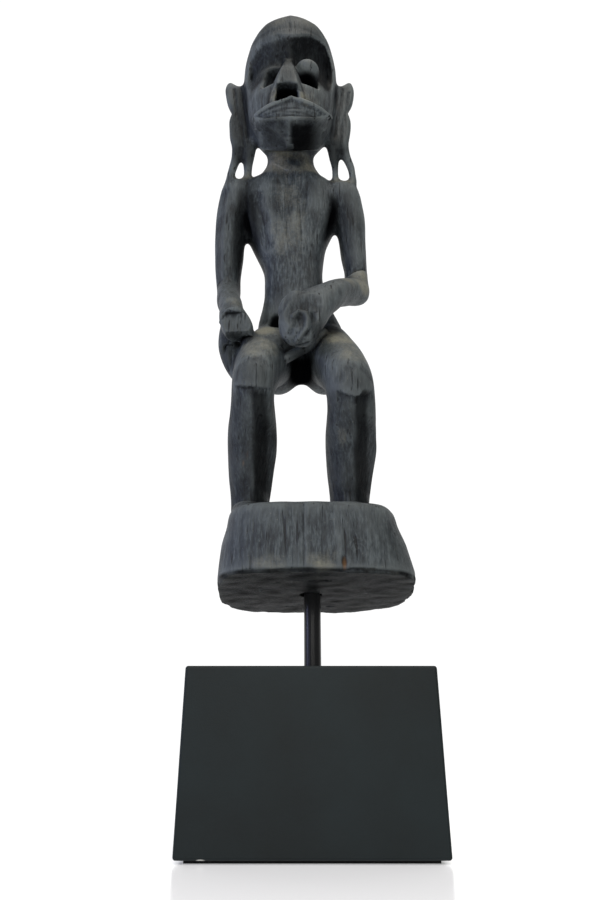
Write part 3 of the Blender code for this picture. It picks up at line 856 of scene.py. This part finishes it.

# %% Where ochre dust lies, and where light is painted
DUST_AND_LIGHT = (  # middle and reach of each pale patch, of ochre dust and of painted light, and how strong it is
    ((-36, -16, 388), (16, 12, 8), 0.8),
    ((0, -14, 388), (16, 12, 8), 0.8),
    ((-60, -8, 381), (16, 14, 7), 0.7),
    ((30, -8, 377), (16, 14, 7), 0.7),
    # Ochre dust and painted light on the neck, where the head shades it.
    ((-20, -18, 392), (26, 16, 17), 0.9),
    ((-33, -66, 420), (7, 8, 14), 0.8),
    ((-4, -66, 418), (7, 8, 13), 0.9),
    ((0, -60, 424), (13, 12, 9), 0.6),
    ((-18, -72, 464), (5, 6, 12), 0.5),
    ((-5, -60, 522), (18, 14, 14), 0.4),
    ((-30, -60, 522), (12, 14, 14), 0.5),
    ((46, -16, 272), (18, 20, 9), 0.8),
    ((26, -27, 251), (18, 14, 11), 0.8),
    ((44, -15, 259), (16, 14, 11), 0.85),
    ((-62, -30, 228), (12, 12, 12), 0.5),
    ((-30, -60, 8), (18, 6, 9), 0.5),
    ((8, -61, 8), (18, 6, 9), 0.7),
    ((-38, -22, 205), (16, 16, 12), 1.0),
    ((-42, -40, 180), (20, 22, 20), 0.75),
    ((20, -30, 195), (20, 20, 17), 1.0),
    ((30, -40, 172), (18, 20, 16), 0.7),
    ((-48, -38, 100), (5, 6, 22), 0.35),
    ((22, -42, 108), (5, 6, 20), 0.4),
    # Painted light: a faint pale lift down the chest, where the head shades it.
    ((-20, -20, 325), (26, 10, 80), 0.42),
)
print("dusty places:", len(DUST_AND_LIGHT))

# %% Where soot lies, and where shade is painted
# Most patches here are painted shade: in the pits of the eyes, under the nose and the jaw, the jaw's shadow
# on the neck, the armpits and the inside of the hanging arm, round both hands and in the void between the
# thighs. The others darken the wood's tone.
SHADE_AND_SOOT = (  # middle and reach of each dark patch, of soot and of painted shade, and how strong it is
    ((-20, -58, 419), (13, 18, 11), 1.0),
    ((-2, -57, 450), (14, 14, 10), 1.0),
    ((-28, -54, 451), (10, 12, 10), 1.0),
    ((-8, -4, 181), (15, 32, 15), 1.0),
    ((2, -54, 389), (16, 24, 14), 0.6),
    ((-32, -54, 388), (18, 22, 13), 0.58),
    ((-16, -40, 380), (18, 12, 5), 0.7),
    ((-29, -15, 221), (7, 11, 10), 1.0),
    ((16, -22, 208), (10, 16, 12), 0.8),
    ((-67, -20, 186), (9, 14, 26), 0.55),
    ((-61, -37, 194), (11, 8, 4), 0.8),
    ((-22, -40, 184), (5, 8, 5), 0.9),
    ((-57, -8, 318), (15, 20, 66), 0.85),
    ((30, -8, 322), (14, 20, 56), 0.5),
    ((-19, -76, 446), (10, 7, 26), 0.52),
    ((-18, -58, 518), (36, 30, 24), 0.46),
    ((-63, -22, 440), (13, 14, 56), 0.62),
    ((32, -22, 440), (12, 14, 52), 0.3),
    ((-62, -22, 402), (11, 10, 22), 0.65),
    ((24, -22, 402), (10, 12, 22), 0.7),
    ((-8, -46, 206), (18, 14, 26), 0.4),
    ((3, -48, 193), (6, 8, 12), 0.6),
    ((-72, -8, 310), (14, 26, 72), 0.25),
    ((-58, -38, 204), (13, 8, 11), 0.34),
    ((64, -45, 26), (20, 26, 24), 0.3),
    ((-19, -20, 401), (16, 12, 8), 0.3),
    ((33, -50, 146), (15, 12, 16), 0.3),
    ((-44, -50, 150), (15, 12, 16), 0.3),
    ((0, -58, 26), (90, 20, 30), 0.12),
)


def patches_of(places, limit, edge):
    total = np.zeros(len(points))
    for middle, reach, strength in places:
        total = np.maximum(total, strength * soft_step((limit - from_place(middle, reach)) / edge))
    return total


soot_and_shade = np.maximum(soot_and_shade, patches_of(SHADE_AND_SOOT, 1.25, 0.7))
# Painted shade: black along the creases of the armpits.
for crease in ARMPITS:
    away = distance_to_line(points, crease)
    soot_and_shade = np.maximum(soot_and_shade, soft_step((13 - away) / 11))
print("sooty places:", len(SHADE_AND_SOOT))

# %% [markdown]
# In the face the painted shade follows the carving, so it is worked out from the same dish, eye and lips as
# the form: painted shade, black in the hollow, none on the domed eye, a painted highlight along the brow's
# rim and on the eye's lid, and painted shadow under the jaw on the viewer's right and in the recess under the
# nose.

# %% Painted shade and highlights in the hollow of the face
DISH_SHADE = ((-40, -32, -14, 6), (0.15, 0.58, 0.62, 0.85))  # places across, and how black each is

across = points[:, 0] - FACE_MIDDLE
_, lens_low, lens_top = mouth(across, points[:, 2])
facing = (points[:, 1] < -30) & (points[:, 2] > 380) & (points[:, 2] < 508)
hollow = dish(across, points[:, 2])
# Painted shade in the dished hollow, darker towards the viewer's right.
soot_and_shade = np.maximum(soot_and_shade, facing * soft_step((hollow - 0.8) / 3) * np.interp(across, *DISH_SHADE))
# Painted highlight: a light line along the brow's rim on the viewer's right, kept with the wear.
brow_highlight = facing * window(hollow, 0.05, 1.1, 0.5) * soft_step((across + 12) / 10) * (points[:, 2] > 460)
wear_and_highlight = np.maximum(wear_and_highlight, 0.9 * brow_highlight)
# Painted highlight on the upper part of the domed eye, with its soot taken off.
from_eye = np.hypot((across - EYE[0]) / EYE[3], (points[:, 2] - EYE[1]) / EYE[5])
lid_highlight = facing * soft_step((1.05 - from_eye) / 0.2) * soft_step((points[:, 2] - 452) / 4)
soot_and_shade *= 1 - 0.9 * lid_highlight
wear_and_highlight = np.maximum(wear_and_highlight, 0.6 * lid_highlight)
print("points of the face:", int(facing.sum()))

# %% Painted shadow under the jaw and the nose
# Painted shadow, near black, on the jaw's underside on the viewer's right.
behind_lip = points[:, 1] - np.interp(across, LIP_LOW_ACROSS, LIP_LOW_Y)
underside = soft_step((behind_lip - 1.5) / 5) * (points[:, 2] < lens_low + 1)
jaw_shadow = facing * np.maximum(soft_step((lens_low - points[:, 2]) / 4), underside)
jaw_shadow *= soft_step(across / 6 + 0.4) * soft_step((36 - across) / 20)
soot_and_shade = np.maximum(soot_and_shade, 0.97 * jaw_shadow)
# Painted shade, black in the recess under the nose.
under_nose_shade = facing * (points[:, 1] < -45) * (points[:, 2] > lens_top + 0.5) * (points[:, 2] < 429)
under_nose_shade = under_nose_shade * ((normals[:, 2] < -0.2) | (points[:, 2] < 426))
under_nose_shade = under_nose_shade * soft_step((9.8 - np.abs(beside_nose(across, points[:, 2]))) / 1.2)
at_edge = 0.75 * soft_step((points[:, 1] + 74.6) / 1.5)
further_in = soft_step((points[:, 1] + 73) / 7)
soot_and_shade = np.maximum(soot_and_shade, under_nose_shade * np.maximum(at_edge, further_in))
print("black points under jaw and nose:", int((jaw_shadow > 0.5).sum()), int((under_nose_shade > 0.5).sum()))

# %% [markdown]
# The log's sawn underside and a band round its foot are painted nearly black, unevenly so, as painted shade
# under the log. Each shin is darkened a little all over, and has a band of painted shade on the viewer's
# right, from the foot to the kneecap, which wanders a little as it goes.

# %% Painted shade on the log and the shins
SHIN_MIDDLES = (-45.5, 29.0)

under = (points[:, 2] < 4) & (normals[:, 2] < -0.5)
soot_and_shade = np.maximum(soot_and_shade, under * (0.74 + 0.1 * waves(points, (16.0, 12.0, 16.0), 22)))
# Painted shade: a dark line round the log's foot, where its side meets the underside.
rim = window(points[:, 2], -1.5, 4.0, 2.2) * (normals[:, 2] > -0.7)
uneven = np.clip(0.7 + 0.25 * waves(points, (14.0, 14.0, 30.0), 21), 0, 0.92)
soot_and_shade = np.maximum(soot_and_shade, rim * uneven)
# Painted shade: a band on each shin's side to the viewer's right, over a light darkening of the whole shin.
for middle_x in SHIN_MIDDLES:
    shin = window(points[:, 2], 49, 139, 7) * (points[:, 1] < -8) * (points[:, 1] > -54)
    shin = shin * (np.abs(points[:, 0] - middle_x) < 22)
    beyond = points[:, 0] - middle_x + 0.9 * waves(points, (24.0, 24.0, 20.0), 23)
    band = 0.86 * soft_step((beyond + 1.5) / 6) * soft_step((17 - beyond) / 7)
    soot_and_shade = np.maximum(soot_and_shade, shin * np.maximum(0.4, band))
from_rod = np.hypot(points[:, 0] - ROD_X, points[:, 1])
# A painted shadow rings the rod where it enters the log.
soot_and_shade = np.maximum(soot_and_shade, soft_step((9.5 - from_rod) / 3) * (points[:, 2] < 6))
print("underside points:", int(under.sum()))

# %% Bare spots, and all four kept on the points
BARE = (  # middle and reach of each chip
    ((20.2, -61, 7), (1.5, 4, 4.5)),
    ((-51, -34.9, 86.8), (1.0, 4, 1.0)),
    ((-47, -36, 93), (0.8, 4, 0.8)),
)
bare = np.zeros(len(points))
for middle, reach in BARE:
    bare = np.maximum(bare, soft_step(1.3 - from_place(middle, reach)))
dust_and_light = np.maximum(0.2 * soot_and_shade * (soot_and_shade < 0.6), patches_of(DUST_AND_LIGHT, 1.2, 0.9))
dust_and_light = np.maximum(dust_and_light, 0.3 * under)
KEPT = {"wear_and_highlight": wear_and_highlight, "soot_and_shade": soot_and_shade, "dust_and_light": dust_and_light, "bare": bare}
for name, values in KEPT.items():
    attribute = figure.data.attributes.new(name, "FLOAT", "POINT")
    attribute.data.foreach_set("value", values.astype(np.float32))
print("means:", {name: round(float(values.mean()), 3) for name, values in KEPT.items()})

# %% [markdown]
# The wood is a dense tropical hardwood, blackened by smoke and hands. Close up it shows grey fibres that run
# up the log in streaks of one to four millimetres, a dull bloom, and a dusty ochre where nobody wipes it.
# The grain is noise on object coordinates, stretched about seventeen times upwards for the streaks and five
# times for the short fibres. It needs no unwrapping, and it runs through the whole log as real grain does.

# %% Grain of the blackened hardwood
hardwood, tree, shader = new_material("blackened_hardwood")
place = add_node(tree, PLACE).outputs["Object"]
along = add_node(tree, MAPPING, inputs={"Vector": place, "Scale": (1.0, 1.0, 0.06)}).outputs["Vector"]
short = add_node(tree, MAPPING, inputs={"Vector": place, "Scale": (1.0, 1.0, 0.22)}).outputs["Vector"]
GRAIN = {  # what it is laid out on, its size in mm, its detail and its roughness
    "streaks": (along, 4.348, 4.0, 0.6),
    "fibres": (short, 1.613, 4.0, 0.65),
    "patches": (place, 22.22, 5.0, 0.6),
    "specks": (place, 2.083, 4.0, 0.7),
    "cracks": (along, 2.381, 2.0, 0.5),
}
grain = {}
for name, (laid_on, size, detail, rough) in GRAIN.items():
    inputs = {"Vector": laid_on, "Scale": per_metre(size), "Detail": detail, "Roughness": rough}
    grain[name] = add_node(tree, NOISE, inputs=inputs).outputs["Fac"]
tone = add_node(tree, MATH, TIMES, {0: grain["streaks"], 1: 0.28})
tone = add_node(tree, MATH, TIMES_AND_ADD, {0: grain["fibres"], 1: 0.47, 2: tone.outputs[0]})
tone = add_node(tree, MATH, TIMES_AND_ADD, {0: grain["patches"], 1: 0.25, 2: tone.outputs[0]})
body = add_node(tree, RAMP, inputs={"Fac": tone.outputs[0]})
set_ramp(body, ((0.40, "#0f1317"), (0.50, "#272d31"), (0.60, "#464d50")))
print("patterns of the wood:", {name: row[1] for name, row in GRAIN.items()}, "mm")

# %% [markdown]
# Over the grain lie the marks of use, with painted light and shade, each as one layer whose factor says where
# it is: rubbed fibres with a painted highlight on the brow and the eye, pale specks, dust that clumps with
# the patches and a pale painted light on the neck and chest, soot and painted shade, bare wood, and drying
# cracks.
# The dust and painted light fill the cracks, so there are none where they lie thick.

# %% Where each layer lies
used = {}
for name in KEPT:
    used[name] = add_node(tree, "ShaderNodeAttribute", {"attribute_name": name}).outputs["Fac"]
flecks = add_node(tree, RANGE, inputs={
    "Value": grain["specks"], "From Min": 0.64, "From Max": 0.74, "To Max": 0.5})
clumps = add_node(tree, RANGE, inputs={
    "Value": grain["patches"], "From Min": 0.36, "From Max": 0.6, "To Min": 0.25, "To Max": 1.35})
settled_dust_and_light = add_node(tree, MATH, TIMES, {0: used["dust_and_light"], 1: grain["specks"]})
settled_dust_and_light = add_node(tree, MATH, TIMES, {0: settled_dust_and_light.outputs[0], 1: clumps.outputs["Result"]})
settled_dust_and_light = add_node(tree, RANGE, inputs={
    "Value": settled_dust_and_light.outputs[0], "From Min": 0.10, "From Max": 0.60, "To Max": 0.8})
split = add_node(tree, RANGE, inputs={"Value": grain["cracks"], "From Min": 0.64, "From Max": 0.69})
clean = add_node(tree, MATH, {**TIMES_AND_ADD, "use_clamp": True}, {0: used["dust_and_light"], 1: -1.4, 2: 0.9})
open_crack = add_node(tree, MATH, TIMES, {0: split.outputs["Result"], 1: clean.outputs[0]})
print("layers placed by:", sorted(used))

# %% The layers of colour
LAYERS = (
    (used["wear_and_highlight"], "#545a5b"),
    (flecks.outputs["Result"], "#77776e"),
    (settled_dust_and_light.outputs["Result"], "#716f62"),
    (used["soot_and_shade"], "#040405"),
    (used["bare"], "#5a4430"),
    (open_crack.outputs[0], "#08090a"),
)
colour = body.outputs["Color"]
for factor, code in LAYERS:
    layer = add_node(tree, MIX, COLOURS, {"Factor": factor, 6: colour, 7: linear(code)})
    colour = layer.outputs[2]
tree.links.new(colour, shader.inputs["Base Color"])
print("layers over the grain:", len(LAYERS))

# %% Its gloss and relief
shine = add_node(tree, RANGE, inputs={"Value": used["soot_and_shade"], "To Min": 0.32, "To Max": 0.0})
tree.links.new(shine.outputs["Result"], shader.inputs["Specular IOR Level"])
gloss = add_node(tree, RANGE, inputs={"Value": grain["patches"], "To Min": 0.42, "To Max": 0.74})
tree.links.new(gloss.outputs["Result"], shader.inputs["Roughness"])
relief = add_node(tree, MATH, TIMES_AND_ADD, {0: grain["fibres"], 1: 0.8, 2: grain["streaks"]})
relief = add_node(tree, MATH, TIMES_AND_ADD, {0: open_crack.outputs[0], 1: -0.5, 2: relief.outputs[0]})
bump = add_node(tree, BUMP, inputs={"Height": relief.outputs[0], "Strength": 0.9, "Distance": 0.0009})
tree.links.new(bump.outputs["Normal"], shader.inputs["Normal"])
figure.data.materials.append(hardwood)
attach(figure, "root")
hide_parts("dayak_figure")
print("nodes of the wood:", len(tree.nodes))

# %% [markdown]
# The rod is a plain steel bar, sprayed satin black. It is short between the block and the log, so its turned
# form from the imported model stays, and only gets its finish. The spray leaves a fine grain, which is drawn
# as coarse as two thirds of a millimetre so that it shows, and the satin gives a soft line of light.

# %% Satin black steel
SPRAY_GRAIN = 0.667

steel, tree, shader = new_material("satin_black_steel")
place = add_node(tree, PLACE).outputs["Object"]
spray = add_node(tree, NOISE, inputs={"Vector": place, "Scale": per_metre(SPRAY_GRAIN), "Detail": 2.0})
tint = add_node(tree, RAMP, inputs={"Fac": spray.outputs["Fac"]})
set_ramp(tint, ((0.3, "#07080a"), (0.7, "#0d0f11")))
tree.links.new(tint.outputs["Color"], shader.inputs["Base Color"])
shader.inputs["Roughness"].default_value = 0.3
shader.inputs["Specular IOR Level"].default_value = 0.3
bump = add_node(tree, BUMP, inputs={"Height": spray.outputs["Fac"], "Strength": 0.15, "Distance": 0.0001})
tree.links.new(bump.outputs["Normal"], shader.inputs["Normal"])


def give_finish(node, finish):
    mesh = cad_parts[node].data
    mesh.materials.clear()
    mesh.materials.append(finish)
    print(node, "is finished in", finish.name)


give_finish("mounting_rod", steel)

# %% [markdown]
# The block is solid wood in several coats of matt black paint, rubbed down between coats. It stays sharp and
# plain, so its packed form stays too. The paint has a faint tooth of about a millimetre, slow clouds where
# it was rubbed unevenly, and one small pale chip at its foot, drawn by the distance from one place.

# %% Matt black paint on the block
CLOUD_SIZE = 55.6
TOOTH_SIZE = 1.111
CHIP_AT = (-0.0606, -0.0762, 0.0016)
CHIP_SIZE = (0.0032, 0.003, 0.0012)

paint, tree, shader = new_material("matt_black_paint")
place = add_node(tree, PLACE).outputs["Object"]
clouds = add_node(tree, NOISE, inputs={"Vector": place, "Scale": per_metre(CLOUD_SIZE), "Detail": 5.0})
tooth = add_node(tree, NOISE, inputs={"Vector": place, "Scale": per_metre(TOOTH_SIZE), "Detail": 3.0})
tint = add_node(tree, RAMP, inputs={"Fac": clouds.outputs["Fac"]})
set_ramp(tint, ((0.35, "#091112"), (0.65, "#0e181a")))
chip = add_node(tree, MAPPING, {"vector_type": "TEXTURE"}, {
    "Vector": place, "Location": CHIP_AT, "Scale": CHIP_SIZE})
from_chip = add_node(tree, "ShaderNodeVectorMath", {"operation": "LENGTH"}, {0: chip.outputs["Vector"]})
off_chip = from_chip.outputs["Value"]
chipped = add_node(tree, RANGE, inputs={"Value": off_chip, "From Min": 1.0, "From Max": 0.6})
painted = add_node(tree, MIX, COLOURS, {
    "Factor": chipped.outputs["Result"], 6: tint.outputs["Color"], 7: linear("#b4b4ae")})
tree.links.new(painted.outputs[2], shader.inputs["Base Color"])
shader.inputs["Roughness"].default_value = 0.55
shader.inputs["Specular IOR Level"].default_value = 0.22
bump = add_node(tree, BUMP, inputs={"Height": tooth.outputs["Fac"], "Strength": 0.25, "Distance": 0.0002})
tree.links.new(bump.outputs["Normal"], shader.inputs["Normal"])
give_finish("black_block", paint)

# %% [markdown]
# A thin black wool felt keeps the block from scratching the table. Only its edge shows, as a dark line, so
# fine noise in its colour and no shine are enough. Its hairs are drawn at nearly a millimetre to show.

# %% Black felt under the block
HAIR_SIZE = 0.833

felt_cloth, tree, shader = new_material("black_wool_felt")
place = add_node(tree, PLACE).outputs["Object"]
inputs = {"Vector": place, "Scale": per_metre(HAIR_SIZE), "Detail": 6.0, "Roughness": 0.7}
hairs = add_node(tree, NOISE, inputs=inputs)
tint = add_node(tree, RAMP, inputs={"Fac": hairs.outputs["Fac"]})
set_ramp(tint, ((0.3, "#08090a"), (0.7, "#1a1b1c")))
tree.links.new(tint.outputs["Color"], shader.inputs["Base Color"])
shader.inputs["Roughness"].default_value = 0.95
give_finish("felt_pad", felt_cloth)

# %% [markdown]
# The room is a white sweep: a pale lacquered table top that glows faintly, as one lit from all sides does,
# and a surround that is white behind the figure and dim in front, so that the wood stays dark against it.
# A soft key lamp stands far in front, one hangs overhead, and a cooler one on the left gives the wood its
# faint blue edge.

# %% The table top
bpy.ops.object.select_all(action="DESELECT")
bpy.ops.mesh.primitive_plane_add(size=6.0, location=(0.0, 0.0, 0.0))
floor = bpy.context.active_object
floor.name = "table_top"
white, tree, shader = new_material("white_lacquer")
shader.inputs["Base Color"].default_value = linear("#f0f0f0")
shader.inputs["Roughness"].default_value = 0.2
shader.inputs["Specular IOR Level"].default_value = 0.3
shader.inputs["Emission Color"].default_value = (1.0, 1.0, 1.0, 1.0)
shader.inputs["Emission Strength"].default_value = 0.23
floor.data.materials.append(white)

# %% The surround
BRIGHT_BEHIND = 1.06
DIM_IN_FRONT = 0.34

world = bpy.data.worlds.new("white_surround")
world.use_nodes = True
room = world.node_tree
way = add_node(room, PLACE)
towards = add_node(room, "ShaderNodeSeparateXYZ", inputs={"Vector": way.outputs["Generated"]})
sweep = add_node(room, RANGE, {"interpolation_type": "SMOOTHSTEP"}, {
    "Value": towards.outputs["Y"], "From Min": 0.28, "From Max": 0.48,
    "To Min": DIM_IN_FRONT, "To Max": BRIGHT_BEHIND})
room.links.new(sweep.outputs["Result"], room.nodes["Background"].inputs["Strength"])
room.nodes["Background"].inputs["Color"].default_value = (1.0, 1.0, 1.0, 1.0)
bpy.context.scene.world = world
bpy.context.scene.view_settings.view_transform = "Standard"


# %% The lamps
def lamp(name, place, aim, size, watts, tint):
    data = bpy.data.lights.new(name, "AREA")
    data.size = size
    data.energy = watts
    data.color = linear(tint)[:3]
    light = bpy.data.objects.new(name, data)
    light.location = place
    light.rotation_euler = (Vector(aim) - Vector(place)).to_track_quat("-Z", "Y").to_euler()
    bpy.context.scene.collection.objects.link(light)
    print(name, "gives", watts, "watts")


lamp("front_key", (0.0, -2.3, 1.15), (0, 0, 0.45), 0.8, 30.0, "#fffdf8")
lamp("overhead", (0.2, -0.75, 2.7), (0, 0, 0.45), 0.9, 27.0, "#fffaf0")
lamp("left_side", (-1.8, -0.6, 0.7), (0, 0, 0.35), 0.6, 13.0, "#bcc5ff")
